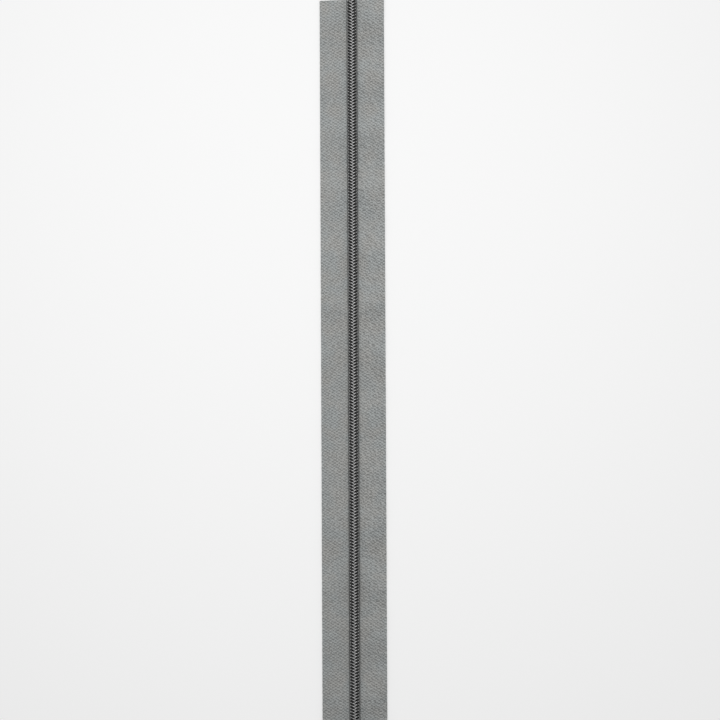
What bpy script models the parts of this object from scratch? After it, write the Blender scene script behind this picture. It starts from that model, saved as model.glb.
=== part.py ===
"""Closed nylon-coil zipper, cut from a continuous roll, with its auto-lock slider near the lower end.

It lies flat on its back: X across the tapes, +Y along the chain towards the scissor-cut end, +Z up out of the coil
side. The origin is under the middle of the zipper, on the surface that the slider's lower plate rests on.
"""

import math

import bmesh
import bpy
from mathutils import Matrix, Vector

# ---- driving dimensions, metres ----
CUT_LENGTH = 0.402          # both tapes, end to end
TAPE_WIDTH = 0.0152         # one tape, selvedge to inner edge
TAPE_THICKNESS = 0.00055
TAPE_GAP = 0.0016           # between the two inner edges of a closed chain
SEAT_PRESS = 0.00005        # the tape is pressed this much thinner where the coil is sewn down and the slider runs
SEAT_MARGIN = 0.0005        # the full thickness starts this far outside the slider's widest point
CUT_SLANT = 0.0013          # how far the scissor cut at the upper end runs off square over the full width

PITCH = 0.0015              # one coil turn
COIL_HALF_WIDTH = 0.0030    # chain centre line to the back of a coil
COIL_HEIGHT = 0.0016
HEAD_ROOT = 0.00075         # heads leave the body of the coil this far from the centre line
HEAD_REACH = 0.0005         # and cross the centre line by this much
HEAD_GAP = 0.00013          # between neighbouring heads of the two sides
CORD_DIAMETER = 0.0006
CORD_OFFSET = 0.0019        # core cord to chain centre line
THREAD_DIAMETER = 0.00024
INNER_ROW = 0.0014          # needle thread rows, from the chain centre line
OUTER_ROW = 0.0024
SEWN_GAP = 0.00006          # between pieces that are sewn tight on one another

PARTING = 0.0029            # sideways path of each half past the slider's nose
PARTING_LENGTH = 0.01325    # length over which a half moves sideways by that much
PARTING_LEAD = 0.0015       # the halves start to part this far behind the slider's middle

SLIDER_LENGTH = 0.0135
TAIL = 0.0270               # parted tape ends beyond the slider's nose
PLATE = 0.0008              # both slider plates
FLANGE = 0.00075            # side flanges of the upper plate
RUNNING_GAP = 0.00015       # slider to chain
SLOT_GAP = 0.0002           # tape slot above the tape
POST_MIN = 0.0003           # blunt leading width of the wedge post

BAR = 0.0011                # thickness of the pull tab and its hinge bar
BAR_LIFT = 0.0003           # under the bar, to the plate
BAR_GAP = 0.00015           # over the bar, to the lock pawl
PAWL_THICKNESS = 0.00018
PAWL_WIDTH = 0.0012
PAWL_LENGTH = 0.0053
PAWL_LEG = 0.00045
PAWL_TRAVEL = 0.0004
PAWL_TIP_GAP = 0.00006      # tip of the locking leg above the stitching level
SPRING_THICKNESS = 0.00012
SPRING_WIDTH = 0.0016
CROWN_WIDTH = 0.0026
CROWN_WALL = 0.0007
CROWN_CLEAR = 0.0004        # inside the crown, past the pawl's ends
TAB_LENGTH = 0.0270         # hinge axis to the free end
TAB_WIDTH = 0.0070
EYE_ARM = 0.0011            # arms beside the crown
EYE_CLEAR = 0.0003          # arms and cross-piece to the crown

# ---- heights, stacked from the resting surface ----
looper_z = PLATE + SEWN_GAP + THREAD_DIAMETER / 2
tape_z0 = looper_z + THREAD_DIAMETER / 2 + SEWN_GAP
tape_z1 = tape_z0 + TAPE_THICKNESS
seat_z = tape_z1 - SEAT_PRESS
coil_z0 = seat_z + SEWN_GAP
coil_z1 = coil_z0 + COIL_HEIGHT
needle_z = coil_z1 + SEWN_GAP + THREAD_DIAMETER / 2
plate_z0 = needle_z + THREAD_DIAMETER / 2 + RUNNING_GAP
plate_z1 = plate_z0 + PLATE
axis_z = plate_z1 + BAR_LIFT + BAR / 2
pawl_z0 = axis_z + BAR / 2 + BAR_GAP
pawl_z1 = pawl_z0 + PAWL_THICKNESS
spring_z0 = pawl_z1 + SEWN_GAP
spring_z1 = spring_z0 + SPRING_THICKNESS
crown_z0 = plate_z1 + SEWN_GAP
crown_inner = pawl_z1 + PAWL_TRAVEL + SPRING_THICKNESS
crown_z1 = crown_inner + CROWN_WALL

# ---- stations along the chain ----
y_top = CUT_LENGTH / 2
y_low = -CUT_LENGTH / 2
y_nose = y_low + TAIL
y_mid = y_nose + SLIDER_LENGTH / 2
y_rear = y_nose + SLIDER_LENGTH
y_part = y_mid + PARTING_LEAD

for stale in list(bpy.data.objects):
    bpy.data.objects.remove(stale, do_unlink=True)

parts = bpy.data.collections.new("coil_zipper")
cutters = bpy.data.collections.new("cutters")
bpy.context.scene.collection.children.link(parts)
bpy.context.scene.collection.children.link(cutters)


def finish(name, color, roughness, metallic=0.0):
    """A Principled material for one piece."""
    material = bpy.data.materials.new(name)
    material.use_nodes = True
    shader = material.node_tree.nodes["Principled BSDF"]
    shader.inputs["Base Color"].default_value = (*color, 1.0)
    shader.inputs["Roughness"].default_value = roughness
    shader.inputs["Metallic"].default_value = metallic
    material.diffuse_color = (*color, 1.0)
    return material


woven_grey = (0.296, 0.301, 0.288)
thread_dark = (0.060, 0.060, 0.062)
nylon_dark = (0.085, 0.085, 0.088)
gunmetal = (0.120, 0.120, 0.125)


def path(y):
    """Sideways shift of a half at station y: nothing in the closed chain, then one smooth step past the slider."""
    t = min(max((y_part - y) / PARTING_LENGTH, 0.0), 1.0)
    return PARTING * t * t * (3 - 2 * t)


def stations(count=14):
    """Stations along the whole zipper, close together only where the halves part."""
    curved = [y_part - PARTING_LENGTH * i / count for i in range(count + 1)]
    return [y_top] + curved + [y_low]


def curve_mesh(name, data, collection, location=(0, 0, 0), rotation=(0, 0, 0)):
    """Turns curve data into a closed, welded mesh object."""
    source = bpy.data.objects.new(name + "_outline", data)
    source.location, source.rotation_euler = location, rotation
    bpy.context.scene.collection.objects.link(source)
    depsgraph = bpy.context.evaluated_depsgraph_get()
    mesh = bpy.data.meshes.new_from_object(source.evaluated_get(depsgraph))
    mesh.name = name
    piece = bpy.data.objects.new(name, mesh)
    piece.matrix_world = source.matrix_world.copy()
    collection.objects.link(piece)
    bpy.data.objects.remove(source, do_unlink=True)
    bpy.data.curves.remove(data)
    shape = bmesh.new()
    shape.from_mesh(mesh)
    bmesh.ops.remove_doubles(shape, verts=shape.verts, dist=1e-6)
    bmesh.ops.recalc_face_normals(shape, faces=shape.faces)
    shape.to_mesh(mesh)
    shape.free()
    return piece


def slab(name, outlines, low, high, collection, plane="XY"):
    """A flat outline, with any holes, given thickness from low to high. Plane YZ stands the outline up, across X."""
    data = bpy.data.curves.new(name, "CURVE")
    data.dimensions, data.fill_mode = "2D", "BOTH"
    data.extrude = (high - low) / 2
    for outline in outlines:
        spline = data.splines.new("POLY")
        spline.points.add(len(outline) - 1)
        for point, (u, v) in zip(spline.points, outline):
            point.co = (u, v, 0, 1)
        spline.use_cyclic_u = True
    middle = (low + high) / 2
    if plane == "XY":
        return curve_mesh(name, data, collection, (0, 0, middle))
    turn = (math.pi / 2, 0, math.pi / 2)
    return curve_mesh(name, data, collection, (middle, 0, 0), turn)


def strand(name, side, offset, height, diameter, ends=0.0):
    """A round cord or thread that follows one half along the whole zipper."""
    data = bpy.data.curves.new(name, "CURVE")
    data.dimensions = "3D"
    data.bevel_depth, data.bevel_resolution = diameter / 2, 1
    data.use_fill_caps = True
    line = stations()
    line[0], line[-1] = line[0] - ends, line[-1] + ends
    spline = data.splines.new("POLY")
    spline.points.add(len(line) - 1)
    for point, y in zip(spline.points, line):
        point.co = (side * (offset + path(y)), y, height, 1)
    piece = curve_mesh(name, data, parts)
    piece.data.shade_smooth()
    return piece


def cut(piece, cutter, solver="EXACT"):
    """Takes one solid out of another."""
    modifier = piece.modifiers.new("cut", "BOOLEAN")
    modifier.operation, modifier.solver = "DIFFERENCE", solver
    modifier.object = cutter
    cutter.hide_render = True
    cutter.display_type = "WIRE"


def soften(piece, width, segments=2):
    """Rounds a piece's sharp edges."""
    bevel = piece.modifiers.new("soften", "BEVEL")
    bevel.width, bevel.segments = width, segments
    bevel.limit_method, bevel.angle_limit = "ANGLE", math.radians(40)


def set_origin(piece, point):
    """Moves a piece's origin to a point without moving its shape."""
    shift = Matrix.Translation(-Vector(point)) @ piece.matrix_world
    piece.data.transform(shift)
    piece.matrix_world = Matrix.Translation(Vector(point))


def dress(piece, *material):
    """Gives a piece its own material."""
    piece.data.materials.clear()
    piece.data.materials.append(finish(piece.name, *material))


# ---- the two stringers ----
reach = COIL_HALF_WIDTH + PARTING
full_width = TAPE_GAP + 2 * TAPE_WIDTH


def cut_end(x):
    """Upper end of the tapes: a straight scissor cut, a little off square."""
    return y_top - CUT_SLANT * (0.5 - x / full_width)


for word, side in (("left", -1), ("right", 1)):
    inner, outer = TAPE_GAP / 2, TAPE_GAP / 2 + TAPE_WIDTH
    line = stations()
    edge_in = [(side * (inner + path(y)), y) for y in line]
    edge_out = [(side * (outer + path(y)), y) for y in line]
    edge_in[0] = (edge_in[0][0], cut_end(edge_in[0][0]))
    edge_out[0] = (edge_out[0][0], cut_end(edge_out[0][0]))
    tape = slab(word + "_tape", [edge_in + edge_out[::-1]], tape_z0, tape_z1, parts)
    seat_out = COIL_HALF_WIDTH + RUNNING_GAP + path(y_nose) + FLANGE + SEAT_MARGIN
    over_in = [(side * (inner + path(y) - PITCH), y) for y in line]
    over_out = [(side * (seat_out + path(y)), y) for y in line]
    for edge in (over_in, over_out):
        edge[0], edge[-1] = (edge[0][0], y_top + PITCH), (edge[-1][0], y_low - PITCH)
    seat = slab(word + "_seat", [over_in + over_out[::-1]], seat_z, tape_z1 + PLATE, cutters)
    cut(tape, seat, "MANIFOLD")
    dress(tape, woven_grey, 0.9)

    # the coil: a body over the cord with one head a turn, each half a turn off the other side's
    head = PITCH / 2 - HEAD_GAP
    first = y_low + PITCH * (0.5 if side < 0 else 1.0)
    last = cut_end(side * COIL_HALF_WIDTH) - PITCH / 2
    count = int((last - first) / PITCH) + 1
    low, high = first - PITCH / 2, first + PITCH * (count - 0.5)
    teeth = [(HEAD_ROOT, low)]
    for i in range(count):
        y = first + PITCH * i
        teeth += [(HEAD_ROOT, y - head / 2), (-HEAD_REACH, y - head / 2)]
        teeth += [(-HEAD_REACH, y + head / 2), (HEAD_ROOT, y + head / 2)]
    teeth.append((HEAD_ROOT, high))
    curved = [y for y in line[1:-1] if low < y < high]
    straight = [low + (high - low) * i / (count // 4) for i in range(count // 4 + 1)]
    straight = [y for y in straight if y > curved[0] + PITCH or y < curved[-1] - PITCH]
    back = [(COIL_HALF_WIDTH, y) for y in sorted(curved + straight)]
    outline = [(side * (x + path(y)), y) for x, y in teeth + back[::-1]]
    coil = slab(word + "_coil", [outline], coil_z0, coil_z1, parts)
    tunnel_half = CORD_DIAMETER / 2 + SEWN_GAP
    tunnel_in = [(side * (CORD_OFFSET - tunnel_half + path(y)), y) for y in line]
    tunnel_out = [(side * (CORD_OFFSET + tunnel_half + path(y)), y) for y in line]
    for edge in (tunnel_in, tunnel_out):
        edge[0], edge[-1] = (edge[0][0], y_top + PITCH), (edge[-1][0], y_low - PITCH)
    cord_z = (coil_z0 + coil_z1) / 2
    tunnel = slab(word + "_tunnel", [tunnel_in + tunnel_out[::-1]], cord_z - tunnel_half, cord_z + tunnel_half, cutters)
    cut(coil, tunnel)
    dress(coil, nylon_dark, 0.45)

    end_gap = CUT_SLANT
    cord = strand(word + "_core_cord", side, CORD_OFFSET, cord_z, CORD_DIAMETER, end_gap)
    dress(cord, thread_dark, 0.9)
    for row, offset in (("inner", INNER_ROW), ("outer", OUTER_ROW)):
        needle = strand(word + "_" + row + "_stitch", side, offset, needle_z, THREAD_DIAMETER, end_gap)
        dress(needle, thread_dark, 0.8)
        looper = strand(word + "_" + row + "_looper", side, offset, looper_z, THREAD_DIAMETER, end_gap)
        dress(looper, thread_dark, 0.8)

# ---- slider: one casting of two plates, side flanges and the wedge post ----
slider_empty = bpy.data.objects.new("slider_origin", None)
slider_empty.empty_display_size = 0.004
slider_empty.location = (0, y_mid, plate_z1)
parts.objects.link(slider_empty)
bpy.context.view_layer.update()


def adopt(piece):
    """Parents a piece of the slider to the slider's empty, where it is."""
    piece.parent = slider_empty
    piece.matrix_parent_inverse = slider_empty.matrix_world.inverted()


steps = 16
along = [y_nose + SLIDER_LENGTH * i / steps for i in range(steps + 1)]
channel = [COIL_HALF_WIDTH + RUNNING_GAP + path(y) for y in along]
shell = [(w + FLANGE, y) for w, y in zip(channel, along)]
body = slab("slider_body", [shell + [(-x, y) for x, y in shell[::-1]]], 0, plate_z1, parts)
soften(body, FLANGE * 0.4)

wedge = [(path(y) - HEAD_REACH - RUNNING_GAP, y) for y in along[1:]]
wedge = [(w, y) for w, y in wedge if w > POST_MIN / 2]
post = wedge + [(-w, y) for w, y in wedge[::-1]]
mouth = [(channel[0], y_nose - PLATE)] + list(zip(channel, along)) + [(channel[-1], y_rear + PLATE)]
bore = slab("channel", [mouth + [(-x, y) for x, y in mouth[::-1]], post], PLATE, plate_z0, cutters)
cut(body, bore, "MANIFOLD")
side_reach = reach + 0.01
around = [(side_reach, y_nose - PLATE), (side_reach, y_rear + PLATE), (-side_reach, y_rear + PLATE), (-side_reach, y_nose - PLATE)]
slot = slab("tape_slot", [around, post], PLATE, tape_z1 + SLOT_GAP, cutters)
cut(body, slot, "MANIFOLD")

# the locking leg of the pawl comes down through a window in the upper plate
leg_y1 = y_mid + PAWL_LENGTH / 2
leg_y0 = leg_y1 - PAWL_LEG
window_x = PAWL_WIDTH / 2 + RUNNING_GAP
window = [(window_x, leg_y0 - RUNNING_GAP), (window_x, leg_y1 + RUNNING_GAP)]
window += [(-x, y) for x, y in window[::-1]]
hole = slab("pawl_window", [window], plate_z0 - PLATE / 2, plate_z1 + PLATE / 2, cutters)
cut(body, hole, "MANIFOLD")
dress(body, gunmetal, 0.35, 1.0)
adopt(body)

# ---- crown: an arch over the bar, the pawl and its spring ----
arch_in = PAWL_LENGTH / 2 + CROWN_CLEAR
arch_out = arch_in + CROWN_WALL
corner = CROWN_WALL
arch = [(-arch_out, crown_z0), (-arch_out, crown_z1 - corner), (-arch_out + corner, crown_z1)]
arch += [(arch_out - corner, crown_z1), (arch_out, crown_z1 - corner), (arch_out, crown_z0)]
arch += [(arch_in, crown_z0), (arch_in, crown_inner), (-arch_in, crown_inner), (-arch_in, crown_z0)]
arch = [(y_mid + y, z) for y, z in arch]
crown = slab("slider_crown", [arch], -CROWN_WIDTH / 2, CROWN_WIDTH / 2, parts, "YZ")
soften(crown, CROWN_WALL * 0.3)
dress(crown, gunmetal, 0.35, 1.0)
adopt(crown)

# ---- lock spring: a thin leaf across the top of the arch ----
leaf = arch_in - SEWN_GAP * 2
strip = [(-leaf, spring_z0), (leaf, spring_z0), (leaf, spring_z1), (-leaf, spring_z1)]
spring = slab("lock_spring", [[(y_mid + y, z) for y, z in strip]], -SPRING_WIDTH / 2, SPRING_WIDTH / 2, parts, "YZ")
dress(spring, (0.5, 0.5, 0.5), 0.3, 1.0)
adopt(spring)

# ---- lock pawl: a bent strip over the bar, one leg on the plate, the other down to the chain ----
half = PAWL_LENGTH / 2
foot_z = plate_z1 + SEWN_GAP
tip_z = needle_z + THREAD_DIAMETER / 2 - THREAD_DIAMETER + PAWL_TIP_GAP
bent = [(-half, foot_z), (-half, pawl_z1), (half, pawl_z1), (half, tip_z)]
bent += [(half - PAWL_LEG, tip_z), (half - PAWL_LEG, pawl_z0), (-half + PAWL_LEG, pawl_z0), (-half + PAWL_LEG, foot_z)]
pawl = slab("lock_pawl", [[(y_mid + y, z) for y, z in bent]], -PAWL_WIDTH / 2, PAWL_WIDTH / 2, parts, "YZ")
dress(pawl, (0.4, 0.4, 0.4), 0.35, 1.0)
set_origin(pawl, (0, leg_y1, tip_z))
bpy.context.view_layer.update()
adopt(pawl)

# ---- pull tab: flat, with an eye whose end bar runs under the crown ----
eye_half = CROWN_WIDTH / 2 + EYE_CLEAR
sweep = math.hypot(arch_out, crown_z1 - corner - axis_z)
sweep = max(sweep, math.hypot(arch_out - corner, crown_z1 - axis_z))
eye_end = sweep + EYE_CLEAR
arm_out = eye_half + EYE_ARM
grip = TAB_WIDTH / 2
rounding = [(grip * math.cos(math.radians(a)), -TAB_LENGTH + grip - grip * math.sin(math.radians(a))) for a in range(0, 181, 15)]
outline = [(-arm_out, BAR / 2), (-arm_out, -eye_end)] + rounding[::-1] + [(arm_out, -eye_end), (arm_out, BAR / 2)]
eye = [(-eye_half, -BAR / 2), (eye_half, -BAR / 2), (eye_half, -eye_end), (-eye_half, -eye_end)]
tab = slab("pull_tab", [outline, eye], -BAR / 2, BAR / 2, parts)
tab.location = (0, y_mid, axis_z)
soften(tab, BAR * 0.28)
dress(tab, gunmetal, 0.35, 1.0)
bpy.context.view_layer.update()
adopt(tab)
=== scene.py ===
# %% [markdown]
# # A closed coil zipper
# Two woven tapes lie side by side, and a nylon coil is sewn along each inner edge. Where the zipper is closed, the
# heads of one coil sit between the heads of the other. The slider is at the lower end.
# Every piece below is a surface worked out with numpy, in metres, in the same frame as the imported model.

import math

import bpy
import numpy as np
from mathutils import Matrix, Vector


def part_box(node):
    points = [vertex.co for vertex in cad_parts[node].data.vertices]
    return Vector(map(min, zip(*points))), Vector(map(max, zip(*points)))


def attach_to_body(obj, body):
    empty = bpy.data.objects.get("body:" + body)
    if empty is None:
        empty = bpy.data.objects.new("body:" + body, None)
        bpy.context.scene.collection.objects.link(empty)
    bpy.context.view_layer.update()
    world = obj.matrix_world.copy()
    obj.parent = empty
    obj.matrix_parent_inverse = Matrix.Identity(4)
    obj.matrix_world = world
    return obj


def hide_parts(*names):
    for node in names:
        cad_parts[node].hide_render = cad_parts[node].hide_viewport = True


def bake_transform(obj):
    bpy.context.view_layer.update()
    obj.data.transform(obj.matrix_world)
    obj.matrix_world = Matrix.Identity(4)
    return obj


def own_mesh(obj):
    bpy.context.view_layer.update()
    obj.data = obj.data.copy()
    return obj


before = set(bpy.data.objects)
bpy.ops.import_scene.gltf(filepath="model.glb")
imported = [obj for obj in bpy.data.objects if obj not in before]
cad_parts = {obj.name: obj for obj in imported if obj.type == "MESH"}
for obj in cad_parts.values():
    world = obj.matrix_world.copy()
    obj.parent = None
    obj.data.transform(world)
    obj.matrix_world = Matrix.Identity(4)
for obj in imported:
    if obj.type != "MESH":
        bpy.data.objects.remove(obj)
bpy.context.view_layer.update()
TAU = 2 * math.pi
MM = 0.001

# %% [markdown]
# ## The path of each half
# Closed, both halves run straight. At the slider they part in one smooth step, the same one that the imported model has.
# Everything that is sewn to a tape follows this path, so it is worked out once.

# %% Measure the model and define the path
PITCH = 1.5 * MM  # one coil turn
PARTING, PARTING_LENGTH = 2.9 * MM, 13.25 * MM  # how far each half steps aside, and over what length
PARTING_START = -165.75 * MM  # where the step starts, just behind the slider's middle
CUT_SLANT, FULL_WIDTH = 1.3 * MM, 32 * MM

tape_low, tape_high = (np.array(corner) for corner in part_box("left_tape"))
coil_low, coil_high = (np.array(corner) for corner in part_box("left_coil"))
right_high = np.array(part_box("right_tape")[1])
Y_LOW, Y_TOP = tape_low[1], right_high[1]
TAPE_Z0, TAPE_Z1 = tape_low[2], tape_high[2]
COIL_Z0, COIL_Z1 = coil_low[2], coil_high[2]
COIL_MIDDLE = (COIL_Z0 + COIL_Z1) / 2
SIDES = {"left": -1, "right": 1}


def smooth(t):
    """Eased step: t*t*(3 - 2t), with t held between 0 and 1."""
    t = np.clip(t, 0, 1)
    return t * t * (3 - 2 * t)


def shift(y):
    """Sideways path of a half: 0 above the slider, PARTING below it, and an eased step between."""
    return PARTING * smooth((PARTING_START - y) / PARTING_LENGTH)


def cut_end(x):
    """Upper end of the tapes: a straight line that rises by CUT_SLANT over the full width."""
    return Y_TOP - CUT_SLANT * (0.5 - x / FULL_WIDTH)


def place(word, q, y, z):
    """A line on one half: q outward along the half's own path, y up the chain, z high."""
    return np.stack([SIDES[word] * (q + shift(y)), y, z + 0 * y], -1)


print("tape length %.1f mm, coil height %.2f mm" % ((Y_TOP - Y_LOW) / MM, (COIL_Z1 - COIL_Z0) / MM))

# %% [markdown]
# ## One way to make every surface
# A tape, a coil and a thread are all the same kind of shape: a closed loop of points carried along a line. Given as a
# grid, one row for each place along the line, it becomes a mesh in one step, with a flat cap at each end. Building
# the grid as whole arrays is much faster than placing vertices one at a time.


# %% Skin a grid
SHARP = math.radians(75)  # edges that turn by more than this stay crisp


def skin(name, grid, across, along, loop=False):
    """Mesh of a grid (rows, columns, 3) whose columns close on themselves. Its rows are capped at both ends, or with
    loop the last row joins the first. across and along give each column and row a place in a UV map in millimetres."""
    rows, columns, _ = grid.shape
    r, c = np.meshgrid(np.arange(rows if loop else rows - 1), np.arange(columns), indexing="ij")
    n, up = (c + 1) % columns, (r + 1) % rows
    corners = [r * columns + c, r * columns + n, up * columns + n, up * columns + c]
    faces = np.stack(corners, -1).reshape(-1, 4).tolist()
    u = np.stack([across[c], across[c + 1], across[c + 1], across[c]], -1).ravel()
    v = np.stack([along[r], along[r], along[r + 1 - loop], along[r + 1 - loop]], -1).ravel()
    if not loop:
        first, last = np.arange(columns)[::-1], np.arange(columns)
        faces += [first.tolist(), ((rows - 1) * columns + last).tolist()]
        u = np.concatenate([u, across[first], across[last]])
        v = np.concatenate([v, np.repeat([along[0], along[-1]], columns)])
    mesh = bpy.data.meshes.new(name)
    mesh.from_pydata(grid.reshape(-1, 3), [], faces)
    mesh.uv_layers.new(name="follow").data.foreach_set("uv", np.stack([u, v], -1).astype(np.float32).ravel())
    mesh.shade_smooth()
    mesh.set_sharp_from_angle(angle=SHARP)
    piece = bpy.data.objects.new(name, mesh)
    bpy.context.scene.collection.objects.link(piece)
    return piece


print("edges stay crisp past %d degrees" % round(math.degrees(SHARP)))

# %% [markdown]
# ## Rods
# Coil, cord and thread are rods: an ellipse carried along a line. The ellipse needs a direction for its wide axis. The
# coil's is along the chain, because its heads are pressed wide that way, and a thread's is across it.

# %% Carry an ellipse along a line
GUIDES = {"along": np.array([0.0, 1.0, 0.0]), "across": np.array([1.0, 0.0, 0.0])}


def tube(name, line, wide, tall, sides, guide):
    """A rod along line (n, 3) with an elliptic section. The wide axis A is the part of the guide that is square to
    the line, and B is square to both. Its points are line + wide*cos(a)*A + tall*sin(a)*B for angles a."""
    run = np.gradient(line, axis=0)
    run /= np.linalg.norm(run, axis=1, keepdims=True)
    a_axis = GUIDES[guide] - (GUIDES[guide] * run).sum(1, keepdims=True) * run
    a_axis /= np.linalg.norm(a_axis, axis=1, keepdims=True)
    b_axis = np.cross(run, a_axis)
    angle = (TAU * np.arange(sides) / sides)[:, None]
    wide, tall = (np.broadcast_to(size, len(line))[:, None, None] for size in (wide, tall))
    grid = line[:, None] + wide * np.cos(angle) * a_axis[:, None] + tall * np.sin(angle) * b_axis[:, None]
    length = np.concatenate([[0], np.cumsum(np.linalg.norm(np.diff(line, axis=0), axis=1))])
    return skin(name, grid, np.arange(sides + 1) / sides, length / MM)


print("guides for a rod's wide axis:", list(GUIDES))

# %% [markdown]
# ## The woven tapes
# A zipper tape is a narrow, dense ribbon. Its warp yarns lie in columns along the zipper, and each passes over and
# under the weft one step later than its neighbour, which leaves fine diagonals in both directions. The step repeats
# with the stitching, once for each coil turn. The mesh has a line of points along the crest of every warp yarn and one
# along every groove between two, so the ribs and the diagonals are real. The finer weft comes from the material.

# %% Describe the weave
INNER_EDGE, OUTER_EDGE = 0.8 * MM, 16.0 * MM
YARN = 0.472 * MM  # from one warp yarn to the next
STEPS = 5  # yarns until the pattern repeats
RELIEF = 0.03 * MM  # depth of the grooves
LEAN = {"left": 0.52, "right": 0.7}  # how much of the crossings run one way
WAVE = {"left": 0.12 * MM, "right": 0.3 * MM}  # height of the slow waves at the outer edge
WAVE_LENGTH, RIPPLE, RIPPLE_LENGTH, RIPPLE_SLANT = 28 * MM, 0.4, 8.3 * MM, 6 * MM
WAVE_FROM, WAVE_TO = 6 * MM, 16 * MM


def weave(q, y, lean):
    """Height of the weave, -1 to 1. Yarn number n is round(q / YARN). The crossings go by cos(v + n/STEPS) and
    cos(v - n/STEPS) of a turn, weighted by lean, and the ribs by cos(q / YARN) of a turn."""
    n, v = np.floor(q / YARN + 0.5), TAU * y / PITCH
    crossings = lean * np.cos(v + TAU * n / STEPS) + (1 - lean) * np.cos(v - TAU * n / STEPS)
    return 0.5 * crossings + 0.5 * np.cos(TAU * q / YARN)


def lie(q, y, word):
    """Height of a tape's slow waves: its amplitude eased in from WAVE_FROM to WAVE_TO outward, times a long sine and
    a shorter one that runs on a slant."""
    amplitude = np.clip((q - WAVE_FROM) / (WAVE_TO - WAVE_FROM), 0, 1) ** 1.5 * WAVE[word]
    long_wave = np.sin(TAU * y / WAVE_LENGTH + SIDES[word])
    return amplitude * (long_wave + RIPPLE * np.sin(y / RIPPLE_LENGTH + q / RIPPLE_SLANT))


print("warp yarns across a tape: %d" % ((OUTER_EDGE - INNER_EDGE) / YARN))

# %% Weave the tapes
UNDER_POINTS, BEND_POINTS, STATIONS_A_TURN = 15, 5, 4
RAGGED, RAGGED_STEP = 0.05 * MM, 2.4  # how unevenly the yarns end at the cut, and the phase from yarn to yarn
SELVEDGE = 0.03 * MM  # how far the weft stands out at the outer edge
TAPER = 0.03  # how much narrower a tape gets, for each metre up


def section():
    """The tape's section as a flat loop of outward places and heights: the underside, a half circle round the outer
    edge, the top with a point on every crest and groove, and a half circle round the inner edge."""
    half = (TAPE_Z1 - TAPE_Z0) / 2
    inner, outer = INNER_EDGE + half, OUTER_EDGE - half
    under = np.linspace(inner, outer, UNDER_POINTS + 2)[1:-1]
    top = np.arange(math.ceil(outer / YARN * 2) - 1, math.floor(inner / YARN * 2), -1) * YARN / 2
    bend = np.linspace(-math.pi / 2, math.pi / 2, BEND_POINTS)
    q = np.concatenate([under, outer + half * np.cos(bend), top, inner - half * np.cos(bend)])
    z = np.concatenate([0 * under - half, half * np.sin(bend), 0 * top + half, -half * np.sin(bend)])
    return q, z, half


def ribbon(word):
    """One tape: its section carried from the lower end to the scissor cut, with the weave and the waves as height."""
    side, (q, z, half) = SIDES[word], section()
    # each yarn runs its own length, because the cut is not square and leaves the ends a little uneven
    end = cut_end(side * q) - RAGGED * (1 + np.sin(RAGGED_STEP * np.floor(q / YARN + 0.5)))
    share = np.linspace(0, 1, int((Y_TOP - Y_LOW) / PITCH * STATIONS_A_TURN) + 1)[:, None]
    y = Y_LOW + (end - Y_LOW)[None] * share
    flat = np.sign(z) * np.clip(np.abs(z) / half, 0, 1) ** 4
    relief = flat * RELIEF * (weave(q[None], y, LEAN[word]) - 1)
    height = (TAPE_Z0 + TAPE_Z1) / 2 + z + relief + lie(q, y, word)
    selvedge = SELVEDGE * np.sin(TAU * y / (2 * PITCH)) * (q > OUTER_EDGE - half)
    narrow = 1 - TAPER * y * np.clip(q / OUTER_EDGE, 0, 1)
    grid = place(word, q * narrow + selvedge, y, height)
    # the right tape is a mirror image, so its loop is turned round to keep the faces outwards
    if side > 0:
        grid, q = grid[:, ::-1], q[::-1]
    return skin(word + "_woven_tape", grid, np.append(q, q[0]) / MM, share[:, 0] * (Y_TOP - Y_LOW) / MM)


tapes = {word: ribbon(word) for word in SIDES}
print("tape faces:", {word: len(piece.data.polygons) for word, piece in tapes.items()})

# %% [markdown]
# ## The coils
# A coil zipper's teeth are one continuous monofilament wound over a cord. Each turn has a top leg and a bottom leg,
# a round bend at the back, and a flattened head at the front that hooks between the other side's heads. The legs lean
# up the chain as they run outwards. Two numbers for each turn describe it: where the point is across, and how high.

# %% Shape one turn
WIRE = 0.31 * MM  # half the monofilament's thickness
HEAD_TIP, BACK = -0.43 * MM, 2.85 * MM
CLIMB = {"head": 0.08, "top": 0.50, "back": 0.08, "bottom": 0.34}  # shares of the pitch
LEG_WIDE, HEAD_WIDE, HEAD_TALL = 0.8, 1.2, 0.76  # sections beside the round wire
BEND, HEAD_BEND = (COIL_Z1 - COIL_Z0) / 2 - WIRE, 0.27 * MM
FRONT, REAR = HEAD_TIP + HEAD_TALL * WIRE + HEAD_BEND, BACK - WIRE - BEND


def turn_shape():
    """One turn as arrays: outward place, height over the coil's middle, and climb along the chain from 0 to 1.
    Head: FRONT - HEAD_BEND*cos(a), BEND*sin(a). Back: REAR + BEND*sin(a), BEND*cos(a). The legs are straight."""
    rise, round_back = np.radians([0, 32, 62]), np.radians([0, 60, 120])
    top, under = np.array([0.0, 0.2, 0.42]), np.zeros(1)
    outward = [FRONT - HEAD_BEND * np.cos(rise), FRONT + (REAR - FRONT) * top, REAR + BEND * np.sin(round_back),
               REAR + under, FRONT - HEAD_BEND * np.sin(rise)]
    height = [BEND * np.sin(rise), BEND + 0 * top, BEND * np.cos(round_back), under - BEND, -BEND * np.cos(rise)]
    share = [rise / math.pi * 2, top, round_back / math.pi, under, rise / math.pi * 2]
    grow = [CLIMB["head"] / 2, CLIMB["top"], CLIMB["back"], CLIMB["bottom"], CLIMB["head"] / 2]
    starts = np.cumsum([0, *grow[:-1]])
    climbs = [start + size * part for start, size, part in zip(starts, grow, share)]
    return np.concatenate(outward), np.concatenate(height), np.concatenate(climbs)


print("stations a turn:", len(turn_shape()[0]), "round back radius %.2f mm" % (BEND / MM))

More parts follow.
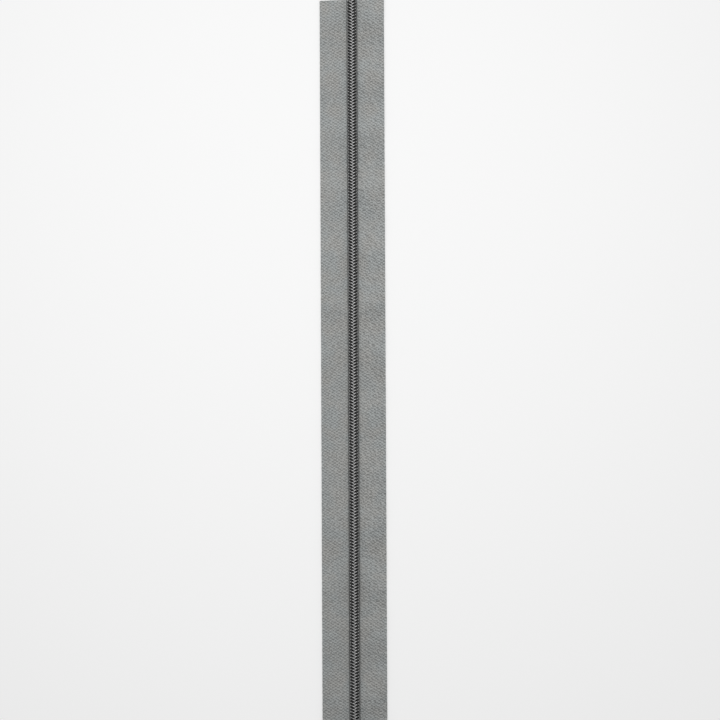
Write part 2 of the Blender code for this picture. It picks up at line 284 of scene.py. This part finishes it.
# %% Wind the coils
TRIM = 0.05 * MM  # the last turn ends this far short of the cut
HEAD_FROM, HEAD_TO = 1.0 * MM, 0.4 * MM  # a leg widens into its head between these places
WIRE_SIDES = 7
COIL_AT, THREADS_AT = 3 * MM, 2 * MM  # where across the cut is taken for the coils and for the threads


def first_turn(word):
    """Where the first turn starts: the left coil's heads are half a pitch from the right one's."""
    return Y_LOW + PITCH * {"left": 0.5, "right": 1.0}[word]


def wind(word):
    """A whole coil: the turn repeated once a pitch, and cut off with the tape."""
    outward, height, climb = turn_shape()
    first = first_turn(word)
    turns = int((cut_end(SIDES[word] * COIL_AT) - PITCH / 2 - first) / PITCH) + 1
    y = (first + PITCH * (np.arange(turns)[:, None] + climb[None])).ravel()
    q, z = np.tile(outward, turns), np.tile(height, turns)
    kept = y < cut_end(0) - TRIM
    q, y, z = q[kept], y[kept], z[kept]
    line = place(word, q, y, COIL_MIDDLE + z)
    # heads are pressed wide and flat, and the legs keep nearly the round section of the wire
    press = smooth((HEAD_FROM - q) / (HEAD_FROM - HEAD_TO))
    wide, tall = WIRE * (LEG_WIDE + (HEAD_WIDE - LEG_WIDE) * press), WIRE * (1 - (1 - HEAD_TALL) * press)
    return tube(word + "_wound_coil", line, wide, tall, WIRE_SIDES, "along")


coils = {word: wind(word) for word in SIDES}
print("coil faces:", {word: len(piece.data.polygons) for word, piece in coils.items()})

# %% [markdown]
# ## Cord, needle threads and loopers
# A soft cord fills each coil. Two needle threads hold it down: each comes up between two turns, passes over one top
# leg and goes down again, once a turn, and a looper thread catches it under the tape. Each is a rod whose height
# follows a wave with one crest for each leg.

# %% Place the rows of stitches
THREAD = 0.13 * MM  # half its thickness
ROWS = {"inner": 1.42 * MM, "outer": 2.52 * MM}  # outward place
SWING = {"inner": 0.09 * MM, "outer": 0.03 * MM}
DIP = {"inner": 0.42 * MM, "outer": 0.9 * MM}  # how deep it goes between two legs
PLY = {"inner": 1.35, "outer": 0.65}  # thickness beside THREAD
THREAD_WIDE = 1.1  # a thread is pressed a little wide
THREAD_TRIM = 0.15 * MM


def leg_place(q):
    """How far up the chain the top leg is when it is q outward, as a share of the pitch."""
    return CLIMB["head"] / 2 + CLIMB["top"] * (q - FRONT) / (REAR - FRONT)


def stations(steps, word):
    """Places from the first turn to the last, steps for each turn."""
    return np.arange(first_turn(word), cut_end(SIDES[word] * THREADS_AT) - THREAD_TRIM, PITCH / steps)


def coil_top(q):
    """Height of the coil's upper surface q outward: flat over the legs, and round over the back bends."""
    past = np.maximum(q - REAR, 0)
    return COIL_Z1 - (BEND + WIRE) + np.sqrt((BEND + WIRE) ** 2 - past ** 2)


print("rows at", {row: round(q / MM, 2) for row, q in ROWS.items()}, "mm")

# %% Sew the coils down
LOOPER_SWING, LOOPER_TALL, LOOPER_DROP = 0.16 * MM, 0.7, 0.75
# the cord reaches in under the heads, so that its near-black colour fills the pockets between them with painted shade
CORD_PLACE, CORD_HALF, CORD_LAY, CORD_SWELL = 1.19 * MM, 0.79 * MM, 2.2 * MM, 0.05
CORD_TALL = 0.9 * (BEND - WIRE)  # it fills most of the height between the legs
STEPS_A_TURN = {"needle": 8, "looper": 6, "cord": 3}
THREAD_SIDES, CORD_SIDES = 6, 10


def sew(word, row):
    """One needle thread: height = crest - dip*((1 - cos)/2)^1.6, with its crests on the top legs. It crosses each leg
    on a slant, so it swings by sin of the same angle."""
    y = stations(STEPS_A_TURN["needle"], word)
    phase = TAU * ((y - y[0]) / PITCH - leg_place(ROWS[row]))
    crest = coil_top(ROWS[row]) + THREAD * 0.7 * PLY[row]
    z = crest - DIP[row] * (0.5 - 0.5 * np.cos(phase)) ** 1.6
    q = ROWS[row] + SWING[row] * np.sin(phase)
    wide, tall = THREAD * THREAD_WIDE * PLY[row], THREAD * min(PLY[row], 1.0)
    return tube(word + "_" + row + "_needle_thread", place(word, q, y, z), wide, tall, THREAD_SIDES, "across")


def loop_under(word, row):
    """One looper thread: it swings by a sine from side to side under the tape, once a turn."""
    y = stations(STEPS_A_TURN["looper"], word)
    line = place(word, ROWS[row] + LOOPER_SWING * np.sin(TAU * y / PITCH), y, TAPE_Z0 - THREAD * LOOPER_DROP)
    wide, tall = THREAD * THREAD_WIDE, THREAD * LOOPER_TALL
    return tube(word + "_" + row + "_under_thread", line, wide, tall, THREAD_SIDES, "across")


def fill(word):
    """The core cord: a flat oval rod between the legs, whose width swells by a sine, once a twist."""
    y = stations(STEPS_A_TURN["cord"], word)
    wide = CORD_HALF * (1 + CORD_SWELL * np.sin(TAU * y / CORD_LAY))
    line = place(word, CORD_PLACE, y, COIL_MIDDLE)
    return tube(word + "_filler_cord", line, wide, CORD_TALL, CORD_SIDES, "across")


needles, loopers, cords = {}, {}, {}
for word in SIDES:
    cords[word] = fill(word)
    for row in ROWS:
        needles[word, row] = sew(word, row)
        loopers[word, row] = loop_under(word, row)
print("threads:", len(needles) + len(loopers), "cords:", len(cords))

# %% [markdown]
# ## Shader arithmetic
# A pattern is easiest to read as a formula. The class below wraps one output of a node, so that `a * 2 + b` adds the
# Math nodes for it. A finish is a material with one method that adds any other node.


# %% A value that does arithmetic, and a finish to build with
class Value:
    """One output socket. Arithmetic on it adds Math nodes: a + b, a - b, a * b, a / b, cos and sin."""

    def __init__(self, socket):
        self.socket = socket

    def math(self, operation, other=0.0, swap=False):
        """Adds one Math node. With swap, the other value comes first."""
        tree = self.socket.id_data
        node = tree.nodes.new("ShaderNodeMath")
        node.operation = operation
        for slot, value in zip(node.inputs, (other, self) if swap else (self, other)):
            if isinstance(value, Value):
                tree.links.new(value.socket, slot)
            else:
                slot.default_value = value
        return Value(node.outputs[0])

    def __add__(self, other):
        return self.math("ADD", other)

    def __sub__(self, other):
        return self.math("SUBTRACT", other)

    def __rsub__(self, other):
        return self.math("SUBTRACT", other, True)

    def __mul__(self, other):
        return self.math("MULTIPLY", other)

    def __truediv__(self, other):
        return self.math("DIVIDE", other)

    def __rtruediv__(self, other):
        return self.math("DIVIDE", other, True)

    __radd__, __rmul__ = __add__, __mul__

    def cos(self):
        return self.math("COSINE")

    def sin(self):
        return self.math("SINE")


class Finish:
    """A material on one Principled shader. Constants go on the shader's own sockets."""

    def __init__(self, name, **constants):
        self.material = bpy.data.materials.new(name)
        self.material.use_nodes = True
        self.tree = self.material.node_tree
        self.shader = self.tree.nodes["Principled BSDF"]
        for socket, value in constants.items():
            self.shader.inputs[socket.replace("_", " ")].default_value = value

    def node(self, kind, settings=(), inputs=(), out=0):
        """Adds a node: its settings first, then the values or links of its sockets."""
        node = self.tree.nodes.new("ShaderNode" + kind)
        for key, value in dict(settings).items():
            setattr(node, key, value)
        for key, value in dict(inputs).items():
            if isinstance(value, Value):
                self.tree.links.new(value.socket, node.inputs[key])
            else:
                node.inputs[key].default_value = value
        return Value(node.outputs[out])

    def feed(self, socket, value):
        """Links a value that changes over the surface to one of the shader's sockets."""
        self.tree.links.new(value.socket, self.shader.inputs[socket])

    def noise(self, where, size, detail, rough=0.5):
        """Soft noise from 0 to 1. A larger size gives finer spots."""
        return self.node("TexNoise", {}, {"Vector": where, "Scale": size, "Detail": detail, "Roughness": rough})

    def bump(self, height, strength, distance):
        """Tilts the surface by a height."""
        bump = self.node("Bump", {}, {"Height": height, "Strength": strength, "Distance": distance})
        self.feed("Normal", bump)

    def follow(self):
        """The piece's own map, and its two values in millimetres: across and along."""
        uv = self.node("UVMap", {"uv_map": "follow"})
        split = self.node("SeparateXYZ", {}, {"Vector": uv})
        return uv, split, Value(split.socket.node.outputs[1])

    def blend(self, factor, low, high):
        """A colour between two colours, each three numbers or another colour's Value."""
        low, high = (colour if isinstance(colour, Value) else (*colour, 1) for colour in (low, high))
        return self.node("Mix", {"data_type": "RGBA"}, {0: factor, 6: low, 7: high}, 2)

    def wear(self, piece):
        """Gives the finish to a piece."""
        piece.data.materials.clear()
        piece.data.materials.append(self.material)


def grey(level):
    """A neutral colour."""
    return level, level, level


print("shader tools ready")

# %% [markdown]
# ## The tape's finish
# The tape is matt polyester. Its colour follows the same yarns and crossings as its mesh, so light crests and dark
# grooves sit where the surface has them: painted light on the crests and painted shade in the grooves. Noise in three
# sizes adds fibres, slack yarns and an uneven dye, and a slow sine along the tape paints the light and shade of its
# waves. An image of cloth would blur close up, and formulas stay sharp at any distance.

# %% Colour the tapes
TAPE_GREY, DARKEST, LIGHTEST = 0.264, 0.45, 1.55
WEFT = 0.375  # millimetres from one weft yarn to the next
TINTS = ((0.965, 1.015, 1.01), (1.0, 1.005, 0.97))


def tape_finish(word):
    """Base colour and bump from the weave: lean*cos(p + q) + (1 - lean)*cos(p - q), where p runs with the stitching
    and q steps from yarn to yarn."""
    lean = LEAN[word]
    finish = Finish(word + "_tape_weave", Roughness=0.92, Sheen_Weight=0.12, Sheen_Roughness=0.5)
    uv, u, v = finish.follow()
    slack = finish.noise(uv, 0.7, 3.0) - 0.5
    yarn = (u / (YARN / MM) + 0.5).math("FLOOR")
    p, q = (v + slack) * (TAU * MM / PITCH), yarn * (TAU / STEPS) + slack * 9.0
    step = lean * (p + q).cos() + (1 - lean) * (p - q).cos()
    rib = (u * (TAU * MM / YARN)).cos()
    weft = (v * (TAU / WEFT) + yarn * 2.1).cos()
    uneven = finish.noise(uv, 0.05, 3.0) - 0.5
    # press is painted light and shade: a slow sine along the tape, scaled by the height of its waves, lightens and
    # darkens the colour as the waves' tilt would
    press = (v * (TAU * MM / WAVE_LENGTH) + uneven * 6.0).sin() * (0.2 * WAVE[word] / MM)
    fibre = finish.noise(uv, 1.8, 4.0, 0.7) - 0.5
    # painted light and shade: crests and ribs are lighter than the grooves between them, as light falls on the weave,
    # and fibres vary both
    shade = 0.5 + 0.46 * step + 0.26 * rib + 0.06 * weft + 0.3 * uneven + press + 1.7 * fibre
    levels = [[tuple(TAPE_GREY * level * part for part in tint) for level in (DARKEST, LIGHTEST)] for tint in TINTS]
    cool, warm = (finish.blend(shade, *pair) for pair in levels)
    dye = (finish.noise(uv, 0.09, 2.0) - 0.5) * 4.0 + 0.5
    finish.feed("Base Color", finish.blend(dye, cool, warm))
    finish.bump(0.5 * step + 0.5 * rib + 0.15 * weft + 0.4 * fibre, 0.6, RELIEF)
    return finish


for word, piece in tapes.items():
    tape_finish(word).wear(piece)
print("tape finishes:", len(tapes))

# %% [markdown]
# ## Nylon and thread
# The coil is dark, satin nylon with a gunmetal look that catches the light on its crests. A partly metallic shader
# under a thin coat gives that. The threads and the cord are twisted yarn, so slanting bands run round them.

# %% Finish the coils, threads and cords
nylon = Finish("dark_nylon", Metallic=0.8, Coat_Roughness=0.15, Coat_Weight=0.3)
cloud = nylon.noise(nylon.follow()[0], 1.3, 2.0)
nylon.feed("Base Color", nylon.blend(cloud, grey(0.29), grey(0.40)))
nylon.feed("Roughness", 0.24 + 0.1 * cloud)
for piece in coils.values():
    nylon.wear(piece)


def yarn(name, dark, light, lay):
    """Twisted yarn: slanting light and dark bands, sin of twice round and once for each lay, in millimetres."""
    finish = Finish(name, Roughness=0.85, Specular_IOR_Level=0.15)
    _, u, v = finish.follow()
    ply = (u * (2 * TAU) + v * (TAU / lay)).sin()
    finish.feed("Base Color", finish.blend(0.5 + 0.5 * ply, grey(dark), grey(light)))
    finish.bump(ply, 0.6, 0.03 * MM)
    return finish


thread = yarn("sewing_thread", dark=0.028, light=0.07, lay=0.35)
# a dark cord, made near black to paint the deep shade in the pockets between the heads
shade_black_filler = yarn("filler_cord", dark=0.006, light=0.014, lay=0.9)
for piece in [*needles.values(), *loopers.values()]:
    thread.wear(piece)
for piece in cords.values():
    shade_black_filler.wear(piece)
print("nylon and yarn done")

# %% [markdown]
# ## The slider's metal
# The slider, its crown and the tab are die-cast zinc with a gunmetal plating: satin, with a faint cast grain. The lock
# pawl and spring inside are bright steel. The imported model's shapes are right for all but the spring, so they stay and
# take these finishes.


# %% Plate the metal
def metal(name, dark, light, rough, grain):
    """Plated metal: a slow cloud in its tone and roughness, and a fine grain in its bump."""
    finish = Finish(name, Metallic=1.0)
    where = finish.node("TexCoord", out=3)
    cloud, cast = finish.noise(where, 260.0, 3.0), finish.noise(where, 4200.0, 2.0)
    finish.feed("Base Color", finish.blend(cloud, grey(dark), grey(light)))
    finish.feed("Roughness", rough + 0.14 * cloud)
    finish.bump(cast, grain, 0.01 * MM)
    return finish


gunmetal = metal("gunmetal_plating", dark=0.19, light=0.27, rough=0.26, grain=0.3)
steel = metal("pressed_steel", dark=0.45, light=0.6, rough=0.25, grain=0.2)
for node in ("slider_body", "slider_crown", "pull_tab"):
    gunmetal.wear(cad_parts[node])
steel.wear(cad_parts["lock_pawl"])
print("metal done")

# %% [markdown]
# ## A rim and grip bars on the tab
# A cast tab is rarely a plain plate: a raised rim stiffens its edge, and a few low bars near the free end keep it from
# slipping. Both are half-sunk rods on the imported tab's two faces, so the tab's own solid isn't touched. The rim's
# line is a rounded rectangle whose lower end is a half circle.

# %% Cast the rims
tab_low, tab_high = (np.array(corner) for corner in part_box("pull_tab"))
TAB_HALF = (tab_high[0] - tab_low[0]) / 2
TAB_MID = (tab_low[2] + tab_high[2]) / 2
RIM_INSET, RIM_HALF, RIM_RISE, RIM_CORNER = 0.62 * MM, 0.3 * MM, 0.14 * MM, 0.9 * MM
RIM_SIDES, END_POINTS, CORNER_POINTS = 8, 25, 6
EYE_DEPTH = 6.6 * MM  # the rim stops this far below the tab's upper end, clear of its eye
FACES = {"front": 1, "back": -1}


def rim_line():
    """Closed line on the tab's plan: a half circle of radius r round the free end, two straight sides, and a straight
    top with rounded corners."""
    r, corner = TAB_HALF - RIM_INSET, RIM_CORNER
    low, top = tab_low[1] + TAB_HALF, tab_high[1] - EYE_DEPTH
    round_end, quarter = np.linspace(0, -math.pi, END_POINTS), np.linspace(math.pi, math.pi / 2, CORNER_POINTS)
    left_x, left_y = corner - r + corner * np.cos(quarter), top - corner + corner * np.sin(quarter)
    x = np.concatenate([r * np.cos(round_end), left_x, -left_x[::-1]])
    y = np.concatenate([low + r * np.sin(round_end), left_y, left_y[::-1]])
    return x, y


def face_height(face):
    """Height of one of the tab's two faces."""
    return TAB_MID + FACES[face] * (tab_high[2] - tab_low[2]) / 2


def cast_rim(face):
    """The rim on one face of the tab: line + half*cos(a)*outward + rise*sin(a)*up."""
    x, y = rim_line()
    angle = TAU * np.arange(RIM_SIDES) / RIM_SIDES
    run = np.stack([np.roll(x, -1) - np.roll(x, 1), np.roll(y, -1) - np.roll(y, 1)], -1)
    run /= np.linalg.norm(run, axis=1, keepdims=True)
    out = np.stack([run[:, 1], -run[:, 0]], -1)
    spread, z = RIM_HALF * np.cos(angle), face_height(face) + RIM_RISE * np.sin(angle)
    grid = np.stack([x[:, None] + out[:, :1] * spread, y[:, None] + out[:, 1:] * spread,
                     np.broadcast_to(z, (len(x), RIM_SIDES))], -1)
    around = np.arange(RIM_SIDES + 1) / RIM_SIDES
    return skin("tab_rim_" + face, grid[:, ::-1], around, np.arange(float(len(x))), loop=True)


rims = [cast_rim(face) for face in FACES]
print("points along a rim:", len(rim_line()[0]))

# %% Cast the grip bars
BARS, BAR_REACH, BAR_HALF, BAR_RISE = 5, 1.75 * MM, 0.3 * MM, 0.16 * MM
BAR_START, BAR_STEP = 3.4 * MM, 1.15 * MM  # from the tab's free end, and from bar to bar


def cast_bar(face, number):
    """One grip bar across the tab near its free end, thinned towards its tips by the root of 1 - x^6."""
    x = np.linspace(-BAR_REACH, BAR_REACH, 9)
    y = tab_low[1] + BAR_START + BAR_STEP * number
    taper = np.sqrt(np.clip(1 - (x / (BAR_REACH * 1.02)) ** 6, 0.02, 1))
    line = np.stack([x, 0 * x + y, 0 * x + face_height(face)], -1)
    return tube("grip_bar_%s_%d" % (face, number + 1), line, BAR_HALF * taper, BAR_RISE * taper, 10, "along")


castings = rims + [cast_bar(face, number) for face in FACES for number in range(BARS)]
for piece in castings:
    gunmetal.wear(piece)
print("castings on the tab:", len(castings))

# %% [markdown]
# ## The lock spring
# A small leaf spring under the crown presses the lock pawl down. It is bowed: its middle rests on the pawl and its
# ends bear on the crown. Pulling the tab lifts the pawl, and the leaf flattens against the crown.

# %% Bow the leaf spring
spring_low, spring_high = (np.array(corner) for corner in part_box("lock_spring"))
LEAF, LEAF_POINTS = 0.1 * MM, 21  # its thickness
CROWN_ROOM = 0.34 * MM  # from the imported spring's top to the underside of the crown
PAWL_GAP, CROWN_GAP = 0.04 * MM, 0.06 * MM
pawl_top, crown_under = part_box("lock_pawl")[1][2], spring_high[2] + CROWN_ROOM


def leaf():
    """A strip of even thickness whose middle line rises by the square of the distance from its centre."""
    t = np.linspace(-1, 1, LEAF_POINTS)
    corners = np.array([[-1, 0], [1, 0], [1, 1], [-1, 1]])
    x = corners[:, 0] * (spring_high[0] - spring_low[0]) / 2
    y = (spring_low[1] + spring_high[1]) / 2 + t * (spring_high[1] - spring_low[1]) / 2
    bow = pawl_top + PAWL_GAP + (crown_under - pawl_top - LEAF - CROWN_GAP) * t ** 2
    x, y, z = np.broadcast_arrays(x, y[:, None], bow[:, None] + LEAF * corners[:, 1])
    grid = np.stack([x, y, z], -1)
    return skin("bowed_leaf_spring", grid[:, ::-1], np.arange(5) / 4, t)


spring = leaf()
steel.wear(spring)
print("spring bows by %.2f mm" % ((crown_under - pawl_top) / MM))

# %% [markdown]
# ## What moves with what
# The left side is the base, and the right side swings open about the closed upper end as the slider climbs. Cloth and
# coil bend there. Here each left piece goes on the left stringer's body, the tab's castings on the tab's and the spring
# on the slider's, and each right piece keeps no parent and has its placement baked into its mesh.


def attach(word, piece, node):
    """Puts a left piece on the left stringer's body, or bakes a right piece's placement into its mesh, and hides the
    plain solid that it replaces.
    """
    if word == "left":
        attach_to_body(piece, "left_stringer")
    else:
        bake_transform(piece)
    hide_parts(node)


for word in SIDES:
    attach(word, tapes[word], word + "_tape")
    attach(word, coils[word], word + "_coil")
    attach(word, cords[word], word + "_core_cord")
    for row in ROWS:
        attach(word, needles[word, row], word + "_" + row + "_stitch")
        attach(word, loopers[word, row], word + "_" + row + "_looper")
for piece in castings:
    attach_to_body(piece, "tab")
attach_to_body(spring, "slider")
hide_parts("lock_spring")
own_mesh(spring)
print("pieces attached")

# %% [markdown]
# ## Ground and light
# A plain pale ground and one wide, soft light overhead. The ground glows a little, so that it stays nearly white beside
# the grey tapes under a gentle light.

# %% Lay the ground and hang the light
bpy.ops.mesh.primitive_plane_add(size=6, location=(0, 0, 0))
ground = bpy.context.object
ground.name = "ground"
paper = Finish("ground_paper", Base_Color=(0.42, 0.42, 0.42, 1), Roughness=1.0, Specular_IOR_Level=0.0)
paper.shader.inputs["Emission Color"].default_value = (1, 1, 1, 1)
paper.shader.inputs["Emission Strength"].default_value = 0.48  # how much the ground glows
paper.wear(ground)

world = bpy.data.worlds.new("soft_room")
bpy.context.scene.world = world
world.use_nodes = True
world.node_tree.nodes["Background"].inputs["Color"].default_value = (1, 1, 1, 1)
world.node_tree.nodes["Background"].inputs["Strength"].default_value = 0.5


def softbox(name, where, size, power, aim):
    """A square area light aimed at a point: turned by yaw about the vertical, and tilted down from it."""
    light = bpy.data.lights.new(name, "AREA")
    light.size, light.energy = size, power
    lamp = bpy.data.objects.new(name, light)
    bpy.context.scene.collection.objects.link(lamp)
    lamp.location = where
    x, y, z = np.array(where) - np.array(aim)
    lamp.rotation_euler = (math.atan2(math.hypot(x, y), z), 0, math.atan2(y, x) + math.pi / 2)


softbox("overhead", where=(-0.02, 0.16, 0.44), size=0.46, power=1.6, aim=(0, 0.14, 0))
print("lights:", [thing.name for thing in bpy.data.lights])

# %% [markdown]
# ## The camera
# It looks straight down on the closed run. A long lens from far away keeps the tapes' edges parallel. Its focal length
# follows from the height that it takes in:
# sensor * distance / height. The camera is turned by a quarter of a degree, as if the zipper lay a little off square.

# %% Set the camera
VIEW_HEIGHT, STAND_OFF, ROLL, SENSOR = 357.3 * MM, 1.6, -0.0045, 36
CAMERA_X, ABOVE_VIEW = 3.3 * MM, 0.96 * MM  # the camera is off the middle, and this much at the top is out of view
camera = bpy.data.cameras.new("camera")
camera_object = bpy.data.objects.new("camera", camera)
bpy.context.scene.collection.objects.link(camera_object)
bpy.context.scene.camera = camera_object
camera.sensor_width = camera.sensor_height = SENSOR
camera.lens = SENSOR * STAND_OFF / VIEW_HEIGHT
camera_object.location = (CAMERA_X, Y_TOP - ABOVE_VIEW - VIEW_HEIGHT / 2, TAPE_Z1 + STAND_OFF)
camera_object.rotation_euler = (0, 0, ROLL)
camera.clip_end = 20

bpy.context.scene.view_settings.view_transform = "Standard"
print("camera over", [round(c, 4) for c in camera_object.location])
